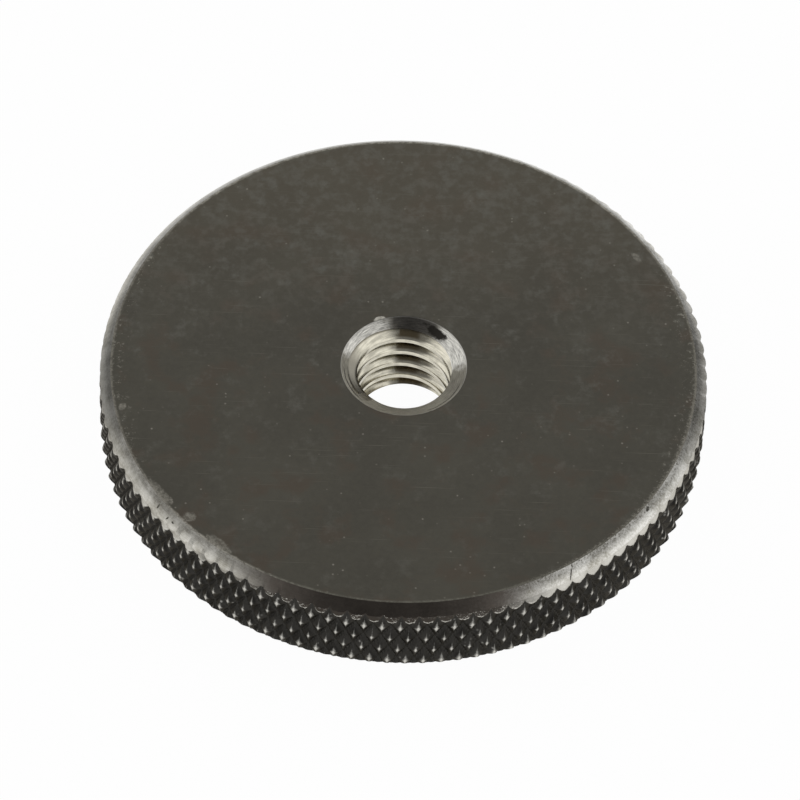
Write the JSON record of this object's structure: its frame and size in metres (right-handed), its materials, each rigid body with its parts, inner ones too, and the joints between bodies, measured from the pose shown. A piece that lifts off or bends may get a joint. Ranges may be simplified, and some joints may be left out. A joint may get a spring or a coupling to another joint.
{
  "type": "thread ring gauge",
  "caption": "Solid steel ring gauge: a flat disc with a diamond-knurled, chamfered rim and a small M6 threaded bore countersunk on both faces.",
  "frame": {"origin": "centre of the bottom face, on the axis of the thread", "axes": "+Z along the axis of the thread, up from the face it lies on; X and Y across the disc"},
  "size_m": [0.032, 0.032, 0.005],
  "materials": {
    "black_oxide_steel": "black oxide, satin, worn bright on the edges"
  },
  "bodies": {
    "root": {"ring": "black_oxide_steel"}
  },
  "joints": []
}
